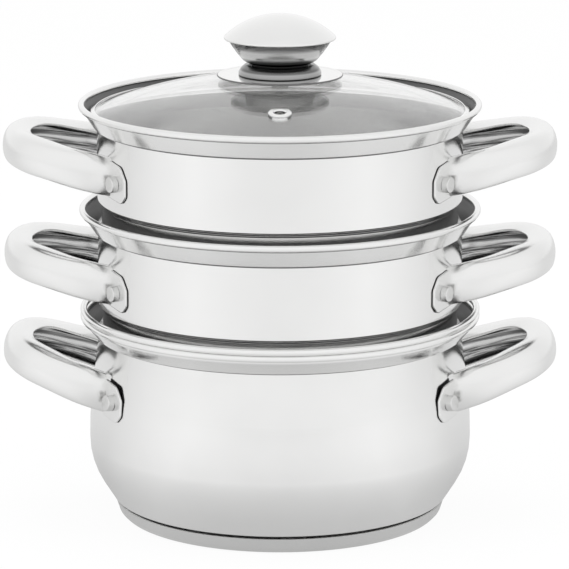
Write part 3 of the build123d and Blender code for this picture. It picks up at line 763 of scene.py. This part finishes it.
def loop_section(root_x, root_height, lean, station):
    """Place the channel's section at one station of a +X handle, in the leaning frame of its root."""
    turn, wide, rise, tall, deep, end = station
    end_x = root_x + WALL * (1 - cos(radians(LEG_ANGLE))) + HANDLE_REACH
    centre_x = root_x + HANDLE_STRAIGHT
    angle = radians(max(90 * turn, 0))
    x = centre_x + (end_x - centre_x) * sin(angle)
    y = -HANDLE_HALF * wide * cos(angle)
    if turn < 0:
        x = centre_x + HANDLE_STRAIGHT * turn
        angle = radians(LEG_SPLAY * turn)
    form = [(a[0] + (b[0] - a[0]) * end, a[1] + (b[1] - a[1]) * end)
            for a, b in zip(SECTION_LEG, SECTION_END)]
    flat = channel_section(form, HANDLE_DEPTH * deep, HANDLE_HEIGHT * tall)
    out = x - flat[:, 0] * sin(angle) - root_x
    up = HANDLE_RISE * rise + flat[:, 1]
    return np.stack([
        root_x + out * cos(lean) - up * sin(lean), y + flat[:, 0] * cos(angle),
        root_height + out * sin(lean) + up * cos(lean)], axis=1)


def handle_shape(root_radius, root_height, lean, wall_radius):
    """Loft one +X handle's channel from the wall round to the wall, and add its ears."""
    root_x = root_radius * cos(radians(LEG_ANGLE))
    sections = [loop_section(root_x, root_height, lean, station) for station in STATIONS]
    both = sections + [s * (1, -1, 1) for s in sections[-2::-1]]
    dense = smooth_line(np.array(both), LOOP_STEPS)
    middle = (len(dense) - 1) // 2
    width = dense.shape[1]
    half = np.zeros((LOOP_RINGS + 1, width, 3))
    for k in range(width):
        line = dense[:middle + 1, k]
        outside = np.array([hypot(p[0], p[1]) - wall_radius(p[2]) - GAP for p in line])
        i = max(np.nonzero(outside < 0)[0], default=0)
        share = -outside[i] / (outside[i + 1] - outside[i]) if outside[i] < 0 else 0
        start = i + share
        where = start + (middle - start) * np.linspace(0, 1, LOOP_RINGS + 1)
        for axis in range(3):
            half[:, k, axis] = np.interp(where, range(middle + 1), line[:, axis])
    full = np.concatenate([half, half[-2::-1] * (1, -1, 1)])
    channel = range(width // 2 + 2, width - LIP_POINTS + 1)
    shape = Builder()
    shape.grid(full, flip=True, inner=channel)
    close_channel(shape, 0, width, 1)
    close_channel(shape, (len(full) - 1) * width, width, -1)
    for y_sign in (-1, 1):
        shape.add(ear_shape(root_radius, root_height, wall_radius, y_sign))
    return shape


def ear_shape(root_radius, root_height, wall_radius, y_sign):
    """Make the flat ear that lies on the wall, with a softened edge."""
    base = Vector((cos(radians(RIVET_ANGLE)), -sin(radians(RIVET_ANGLE)), 0))
    along = Vector((base.y, -base.x, 0))
    corners = [(x * EAR_HALF, y * HANDLE_HEIGHT, f * EAR_HALF) for x, y, f in EAR_OUTLINE]
    outline = [(p[0], p[1]) for p in round_corners(corners)]
    outline = [p for i, p in enumerate(outline)
               if hypot(p[0] - outline[i - 1][0], p[1] - outline[i - 1][1]) > SAME_POINT]
    rows = []
    for scale, height in EAR_RINGS:
        row = []
        for x, z in outline:
            p = base * root_radius + along * x * scale
            azimuth = atan2(p.y, p.x)
            level = root_height + z * scale
            r = wall_radius(level) + GAP + height
            row.append((r * cos(azimuth), r * sin(azimuth) * -y_sign, level))
        rows.append(row)
    shape = Builder()
    width = len(outline)
    shape.grid(rows, flip=y_sign < 0)
    # The ear's foot band and back take material 2, a painted shade line where the ear meets the wall
    shape.inner[:2 * width] = [2] * (2 * width)
    way = -1 if y_sign < 0 else 1
    shape.face(list(range(width))[::way])
    shape.face(list(range((len(rows) - 1) * width, len(rows) * width))[::-way])
    return shape


def rivet_shape(root_radius, root_height, lean):
    """Make the four rivets of one vessel: domed head outside, flat tail inside."""
    shape = Builder()
    reach = root_radius + GAP + HANDLE_SHEET + RIVET_DROP * tan(lean)
    a = radians(RIVET_ANGLE)
    normal = Vector((cos(a) * cos(lean), -sin(a) * cos(lean), sin(lean)))
    place = Matrix.Translation((reach * cos(a), -reach * sin(a), root_height - RIVET_DROP))
    place = place @ normal.to_track_quat("Z", "Y").to_matrix().to_4x4()
    shape.turn(RIVET_OUTLINE, RIVET_STEPS, place, closed=False, flip=True)
    shape.add(shape.mirror(1))
    shape.add(shape.mirror(0))
    return shape


pot_root = BELLY - (POT_HANDLE_HEIGHT - BELLY_HIGH) * LEAN
vessels = [("pot", "pot", pot_root, POT_HANDLE_HEIGHT, LEAN, pot_wall_radius)]
for tier, seat in SEATS.items():
    root_height = seat + TIER + BASKET_RIM - HANDLE_DROPS[tier]
    vessels.append((tier, tier + "_steamer", WALL, root_height, 0.0, basket_wall_radius))
for tier, body, radius, height, lean, wall in vessels:
    right = handle_shape(radius, height, lean, wall)
    for side, shape in (("right", right), ("left", right.mirror(0))):
        piece(tier + "_loop_" + side, shape, body, [tier + "_handle_" + side], "handle_steel",
              handle_steel, channel_painted_streaks, seam_painted_shade)
    piece(tier + "_rivet_set", rivet_shape(radius, height, lean), body, [tier + "_handle_rivets"],
          "rivet_steel", rivet_steel)


# Lid

BAND_SHEET = 0.6
BAND_SHELF = LID_SEAT + 3.25
GLASS_EDGE = 103.7
GLASS_BEVEL = 0.2
GLASS_LOW = BAND_SHELF + BAND_SHEET + GAP
DOME_STEPS = 40
SCREW_HOLE = 2.5
VENT_OUT = 70.4
VENT_HOLE = 4.15
VENT_STEPS = 72
CUT_REACH = 20.0
CUT_STEPS = 64
# How close to a face's sphere a point of the glass counts as on it
NEAR = 0.08
# How well that sphere's normal and the face's have to agree, as a cosine
ALIGNED = 0.9

vent_tilt = VENT_OUT / GLASS_RADIUS
vent_height = GLASS_CENTRE + sqrt(GLASS_RADIUS ** 2 - VENT_OUT ** 2)
vent_normal = Vector((0, -vent_tilt, sqrt(1 - vent_tilt ** 2)))
vent_turn = vent_normal.to_track_quat("Z", "X").to_matrix().to_4x4()
vent_place = Matrix.Translation((0, -VENT_OUT, vent_height)) @ vent_turn


def dome(radius, reach, steps):
    """Give points of a sphere's cap, from the axis outwards."""
    rows = []
    for k in range(steps + 1):
        a = reach * k / steps
        rows.append((radius * sin(a), radius * cos(a)))
    return rows


inner_radius = GLASS_RADIUS - GLASS_SHEET
inner_edge = sqrt(inner_radius ** 2 - (GLASS_LOW - GLASS_CENTRE) ** 2)


def glass_face(radius, edge):
    """Trace one face of the glass from the screw's hole to its edge."""
    rows = dome(radius, np.arcsin(edge / radius), DOME_STEPS)
    return [(max(r, SCREW_HOLE), GLASS_CENTRE + z, 0) for r, z in rows]


inner_rows = glass_face(inner_radius, min(inner_edge, GLASS_EDGE - GLASS_BEVEL))
outer_rows = glass_face(GLASS_RADIUS, GLASS_EDGE)
glass_foot = (GLASS_EDGE, max(GLASS_LOW, inner_rows[-1][1]), 0.3)
glass_shape = Builder()
glass_shape.turn(inner_rows + [glass_foot] + outer_rows[::-1], GLASS_STEPS)
glass_obj = bpy.data.objects.new("glass_blank", glass_shape.mesh("glass_blank"))
bpy.context.scene.collection.objects.link(glass_obj)
cutter_shape = Builder()
cutter_shape.turn([(0, -CUT_REACH, 0), (VENT_HOLE, -CUT_REACH, 0), (VENT_HOLE, CUT_REACH, 0),
                   (0, CUT_REACH, 0)], CUT_STEPS, vent_place)
cutter = bpy.data.objects.new("vent_cutter", cutter_shape.mesh("vent_cutter"))
bpy.context.scene.collection.objects.link(cutter)
cut = glass_obj.modifiers.new("cut", "BOOLEAN")
cut.operation = "DIFFERENCE"
cut.object = cutter
cut.solver = "EXACT"
glass_cut = evaluated(glass_obj)
bpy.data.objects.remove(glass_obj)
bpy.data.objects.remove(cutter)
glass_cut.name = "lid_glass_dome"


def glass_normal(p):
    """Give the dome's normal at a point of the glass, or nothing on its edges."""
    d = Vector((p.x, p.y, p.z)) / MM - Vector((0, 0, GLASS_CENTRE))
    if abs(d.length - GLASS_RADIUS) < NEAR:
        return d.normalized()
    if abs(d.length - inner_radius) < NEAR:
        return -d.normalized()
    return None


loop_normals = []
for polygon in glass_cut.polygons:
    face_normal = Vector(polygon.normal)
    for vertex in polygon.vertices:
        n = glass_normal(glass_cut.vertices[vertex].co)
        loop_normals.append(n if n is not None and n.dot(face_normal) > ALIGNED else face_normal)
glass_cut.polygons.foreach_set("use_smooth", [True] * len(glass_cut.polygons))
glass_cut.normals_split_custom_set(loop_normals)
glass_cut.materials.clear()
piece("lid_glass_dome", glass_cut, "lid", ["lid_glass"], "lid_glass", glass)

BAND = 105.1
BAND_FOLD = 0.85
BAND_RISE = 0.15
BAND_TOP = LID_SEAT + LID_EDGE + BAND_RISE + BAND_SHEET
BAND_ROUNDS = [0.5, 1.1, 1.1]
SKIRT = 99.9
SKIRT_DEPTH = 7.0

band_shape = Builder()
band_path = [(SKIRT, LID_SEAT - SKIRT_DEPTH), (SKIRT, BAND_SHELF), (BAND, BAND_SHELF),
             (BAND, BAND_TOP - BAND_FOLD), (BAND_LIP, BAND_TOP)]
band_shape.turn(sheet_loop(band_path, BAND_ROUNDS, BAND_SHEET, lip=0.25))
piece("lid_band_ring", band_shape, "lid", ["lid_rim_band"], "band_steel", trim_steel)

EYELET = 6.35
EYELET_BORE = 2.8
EYELET_SHANK = 4.1
EYELET_LIP = 1.25
EYELET_FOOT = 1.2

vent_shape = Builder()
under = -GLASS_SHEET - EYELET ** 2 / (2 * GLASS_RADIUS) - GAP
vent_shape.turn([
    (EYELET_BORE, under - EYELET_FOOT, 0.55), (EYELET, under - EYELET_FOOT, 0.6), (EYELET, under, 0.1),
    (EYELET_SHANK, under, 0), (EYELET_SHANK, GAP, 0), (EYELET, GAP, 0.1), (EYELET, EYELET_LIP, 0.8),
    (EYELET_BORE, EYELET_LIP, 0.9)], VENT_STEPS, vent_place)
piece("steam_eyelet", vent_shape, "lid", ["vent_eyelet"], "band_steel", trim_steel)


# Knob, heights from the crown of the glass

ROSETTE = 34.8
ROSETTE_LOW = 0.55
ROSETTE_SHEET = 0.9
ROSETTE_RIM = 1.8
ROSETTE_DISH = 2.4
ROSETTE_SINK = 0.2
FOOT = 22.9
FOOT_NECK = 15.6
FOOT_SHARES = ((1.0, 0.26), (0.78, 0.68), (0.46, 1.0))
STEM = 15.4
STEM_CORE = 9.0
STEM_HOLE = 2.45
STEM_TOP = 24.0
BOWL_NECK = 9.05
BOWL_FLAT = 17.4
BOWL_INSET = 1.0
BOWL_SHARES = ((0.26, 0.12), (0.54, 0.41), (0.78, 0.70), (1.0, 1.0))
KNOB_SHEET = 0.8
CAP = 30.9
CAP_SHEET = 0.9
CAP_RISE = CAP_TOP - CAP_EDGE - CAP_WALL
# How far inside the cap's edge its domes and its lip end, and how far under the end of its outer
# dome the corner of its edge is
CAP_OUTER_INSET = 0.8
CAP_INNER_INSET = 2.0
CAP_LIP = 1.9
CAP_DROP = 0.75
CAP_OUTER_STEPS = 26
CAP_INNER_STEPS = 20


def knob_piece(name, corners, node, slot, material, finishes=None):
    """Turn one of the knob's pieces about its axis."""
    shape = Builder()
    shape.turn([(r, CROWN + z, f) for r, z, f in corners], KNOB_STEPS, finishes=finishes)
    piece(name, shape, "lid", [node], slot, material, crease_painted_shade)


rosette_top = ROSETTE_LOW + ROSETTE_SHEET
# The rosette's outer edge takes the painted crease shade
knob_piece("knob_rosette_disc", [
    (SCREW_HOLE, ROSETTE_LOW, 0), (ROSETTE, ROSETTE_LOW, 0.3), (ROSETTE, rosette_top, 0.55),
    (ROSETTE - ROSETTE_RIM, rosette_top, 0.6),
    (ROSETTE - ROSETTE_DISH, rosette_top - ROSETTE_SINK, 0.6),
    (SCREW_HOLE, rosette_top - ROSETTE_SINK, 0)],
    "knob_rosette", "knob_steel", trim_steel, finishes={1: 1, 2: 1})

foot_path = [(FOOT, FOOT_LOW)] + [
    (FOOT_NECK + (FOOT - FOOT_NECK) * r, FOOT_LOW + FOOT_TALL * z) for r, z in FOOT_SHARES
] + [(FOOT_NECK, FOOT_LOW + FOOT_TALL)]
knob_piece("knob_foot_shell", sheet_loop(foot_path, [1.6, 2.4, 1.6], KNOB_SHEET, lip=0.2),
           "knob_foot", "knob_steel", foot_painted_reflection)

stem_shoulder = BOWL_LOW - GAP
knob_piece("knob_core_stem", [
    (STEM_HOLE, FOOT_LOW, 0), (STEM, FOOT_LOW, 0), (STEM, stem_shoulder, 0.2),
    (STEM_CORE, stem_shoulder, 0), (STEM_CORE, STEM_TOP, 0), (STEM_HOLE, STEM_TOP, 0)],
    "knob_core", "knob_plastic", black)

growth = CAP - CAP_SHEET - GAP - BOWL_INSET - BOWL_FLAT
climb = CAP_EDGE - BOWL_LOW
bowl_path = [(BOWL_NECK, BOWL_LOW), (BOWL_FLAT, BOWL_LOW)] + [
    (BOWL_FLAT + growth * r, BOWL_LOW + climb * z) for r, z in BOWL_SHARES]
knob_piece("knob_bowl_shell", sheet_loop(bowl_path, [1.6, 2.4, 4.8, 4.8], KNOB_SHEET),
           "knob_bowl", "knob_steel", bowl_painted_reflection)

cap_radius = (CAP ** 2 + CAP_RISE ** 2) / (2 * CAP_RISE)
cap_inside = cap_radius - CAP_SHEET
cap_centre = CAP_TOP - cap_radius
outer_reach = np.arcsin((CAP - CAP_OUTER_INSET) / cap_radius)
inner_reach = np.arcsin((CAP - CAP_INNER_INSET) / cap_inside)
cap_outer = [(r, cap_centre + z, 0) for r, z in dome(cap_radius, outer_reach, CAP_OUTER_STEPS)]
cap_inner = [(r, cap_centre + z, 0) for r, z in dome(cap_inside, inner_reach, CAP_INNER_STEPS)]
cap_edge = [(CAP - CAP_LIP, CAP_EDGE, 0.1), (CAP, CAP_EDGE, 0.5),
            (CAP, cap_outer[-1][1] - CAP_DROP, 0.9)]
knob_piece("knob_cap_dome", cap_inner + cap_edge + cap_outer[::-1], "knob_cap", "knob_steel", trim_steel)


# CAD nodes that stay, with their own finishes
for node, material in (("base_core", aluminium), ("knob_soft_washer", silicone),
                       ("under_soft_washer", silicone), ("under_steel_washer", rivet_steel),
                       ("knob_screw", rivet_steel)):
    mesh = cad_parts[node].data
    mesh.materials.clear()
    mesh.materials.append(material)


# Studio

def math_node(tree, operation, first, second):
    """Join two values, sockets or numbers, and return the result's socket."""
    node = tree.nodes.new("ShaderNodeMath")
    node.operation = operation
    for index, value in enumerate((first, second)):
        if isinstance(value, (int, float)):
            node.inputs[index].default_value = value
        else:
            link(tree, value, node.inputs[index])
    return node.outputs[0]


def dot_node(tree, vector, direction):
    """Give how far a vector points along a direction."""
    node = tree.nodes.new("ShaderNodeVectorMath")
    node.operation = "DOT_PRODUCT"
    link(tree, vector, node.inputs[0])
    node.inputs[1].default_value = direction
    return node.outputs["Value"]


def front_share(tree, vector):
    """Give where a direction points, from 0 behind the object to 1 in front of it."""
    return math_node(tree, "ADD", dot_node(tree, vector, (0, -0.5, 0)), 0.5)


# Painted glow of the floor by its side, from behind the object to in front of it
SIDE_PAINTED_GLOW = ((0.0, 0.76), (0.36, 0.78), (0.60, 0.92), (0.80, 1.0), (0.92, 0.95), (1.0, 0.90))
# Painted shadow on the floor's glow by its distance from the object's middle, in metres
NEAR_PAINTED_SHADOW = ((0.09, 0.62), (0.15, 0.75), (0.24, 0.9), (0.36, 0.97), (0.6, 1.0))
# Light of the studio's tent by its side, as above
TENT_STOPS = ((0.0, 1.0), (0.25, 0.94), (0.46, 0.92), (0.60, 0.96), (0.8, 1.0), (1.0, 1.0))
# How much of the floor's painted glow mirrors see, and how much of its white the camera sees
MIRRORED_SHARE = 0.85
WHITE_SHARE = 0.93


def floor_material():
    """Make a pale floor that shows white and keeps a soft shadow. Mirrors see it as a painted glow, dimmer at
    the sides and behind, with painted shadow close to the object.
    """
    material = bpy.data.materials.new("studio_floor")
    material.use_nodes = True
    tree = material.node_tree
    shader = tree.nodes["Principled BSDF"]
    shader.inputs["Base Color"].default_value = (0.86, 0.86, 0.86, 1)
    shader.inputs["Roughness"].default_value = 0.8
    output = tree.nodes["Material Output"]
    path = tree.nodes.new("ShaderNodeLightPath")
    place = tree.nodes.new("ShaderNodeTexCoord")
    flat = tree.nodes.new("ShaderNodeVectorMath")
    flat.operation = "NORMALIZE"
    link(tree, place.outputs["Object"], flat.inputs[0])
    side = front_share(tree, flat.outputs[0])
    side_ramp = ramp_node(tree, SIDE_PAINTED_GLOW)
    link(tree, side, side_ramp.inputs["Fac"])
    far = tree.nodes.new("ShaderNodeVectorMath")
    far.operation = "LENGTH"
    link(tree, place.outputs["Object"], far.inputs[0])
    near_ramp = ramp_node(tree, NEAR_PAINTED_SHADOW)
    link(tree, far.outputs["Value"], near_ramp.inputs["Fac"])
    level = math_node(tree, "MULTIPLY", side_ramp.outputs["Color"], near_ramp.outputs["Color"])
    floor_painted_glow = tree.nodes.new("ShaderNodeEmission")
    link(tree, level, floor_painted_glow.inputs["Color"])
    white = tree.nodes.new("ShaderNodeEmission")
    mirrored = math_node(tree, "MAXIMUM", path.outputs["Is Glossy Ray"], path.outputs["Is Transmission Ray"])
    first = tree.nodes.new("ShaderNodeMixShader")
    link(tree, math_node(tree, "MULTIPLY", mirrored, MIRRORED_SHARE), first.inputs[0])
    link(tree, shader.outputs[0], first.inputs[1])
    link(tree, floor_painted_glow.outputs[0], first.inputs[2])
    second = tree.nodes.new("ShaderNodeMixShader")
    seen = math_node(tree, "MULTIPLY", path.outputs["Is Camera Ray"], WHITE_SHARE)
    link(tree, seen, second.inputs[0])
    link(tree, first.outputs[0], second.inputs[1])
    link(tree, white.outputs[0], second.inputs[2])
    link(tree, second.outputs[0], output.inputs[0])
    return material


FLOOR_REACH = 30.0
FLOOR_HEIGHT = -0.0002
CAMERA_PLACE = (0.0025, -2.049, 0.595)
CAMERA_TILT = radians(77.2)
CAMERA_LENS = 237.95
CAMERA_SENSOR = 36.0
CAMERA_FAR = 100.0
# Lamps by name: place, point they face, width and height in metres, and power in watts
SOFTBOXES = {
    "softbox_left": ((-1.6, -1.1, 1.1), (0, 0, 0.12), (1.2, 1.6), 12),
    "softbox_right": ((1.6, -1.1, 1.1), (0, 0, 0.12), (1.2, 1.6), 12),
    "softbox_top": ((0, 0.3, 2.0), (0, 0, 0.1), (1.4, 1.0), 10),
}

floor_data = bpy.data.meshes.new("studio_floor")
floor_sides = ((-1, -1), (1, -1), (1, 1), (-1, 1))
floor_corners = [(x * FLOOR_REACH, y * FLOOR_REACH, FLOOR_HEIGHT) for x, y in floor_sides]
floor_data.from_pydata(floor_corners, [], [(0, 1, 2, 3)])
floor_data.materials.append(floor_material())
floor = bpy.data.objects.new("studio_floor", floor_data)
bpy.context.scene.collection.objects.link(floor)


def studio_world():
    """Make a white tent, dimmer at the sides, that the camera sees as plain white."""
    world = bpy.data.worlds.new("studio")
    world.use_nodes = True
    tree = world.node_tree
    back = tree.nodes["Background"]
    place = tree.nodes.new("ShaderNodeTexCoord")
    side = front_share(tree, place.outputs["Generated"])
    side_ramp = ramp_node(tree, TENT_STOPS)
    link(tree, side, side_ramp.inputs["Fac"])
    path = tree.nodes.new("ShaderNodeLightPath")
    level = math_node(tree, "MAXIMUM", side_ramp.outputs["Color"], path.outputs["Is Camera Ray"])
    link(tree, level, back.inputs["Color"])
    back.inputs["Strength"].default_value = 1.0
    bpy.context.scene.world = world


studio_world()


def softbox(name, place, target, size, power):
    """Hang a large soft lamp that faces a point."""
    data = bpy.data.lights.new(name, "AREA")
    data.shape = "RECTANGLE"
    data.size, data.size_y = size
    data.energy = power
    lamp = bpy.data.objects.new(name, data)
    lamp.location = place
    lamp.rotation_euler = (Vector(target) - Vector(place)).to_track_quat("-Z", "Y").to_euler()
    lamp.visible_glossy = False
    bpy.context.scene.collection.objects.link(lamp)


for name, settings in SOFTBOXES.items():
    softbox(name, *settings)

camera_data = bpy.data.cameras.new("camera")
camera_data.sensor_width = CAMERA_SENSOR
camera_data.lens = CAMERA_LENS
camera_data.clip_end = CAMERA_FAR
camera = bpy.data.objects.new("camera", camera_data)
camera.location = CAMERA_PLACE
camera.rotation_euler = (CAMERA_TILT, 0, 0)
bpy.context.scene.collection.objects.link(camera)
bpy.context.scene.camera = camera
bpy.context.scene.view_settings.view_transform = "Standard"

bpy.context.view_layer.update()
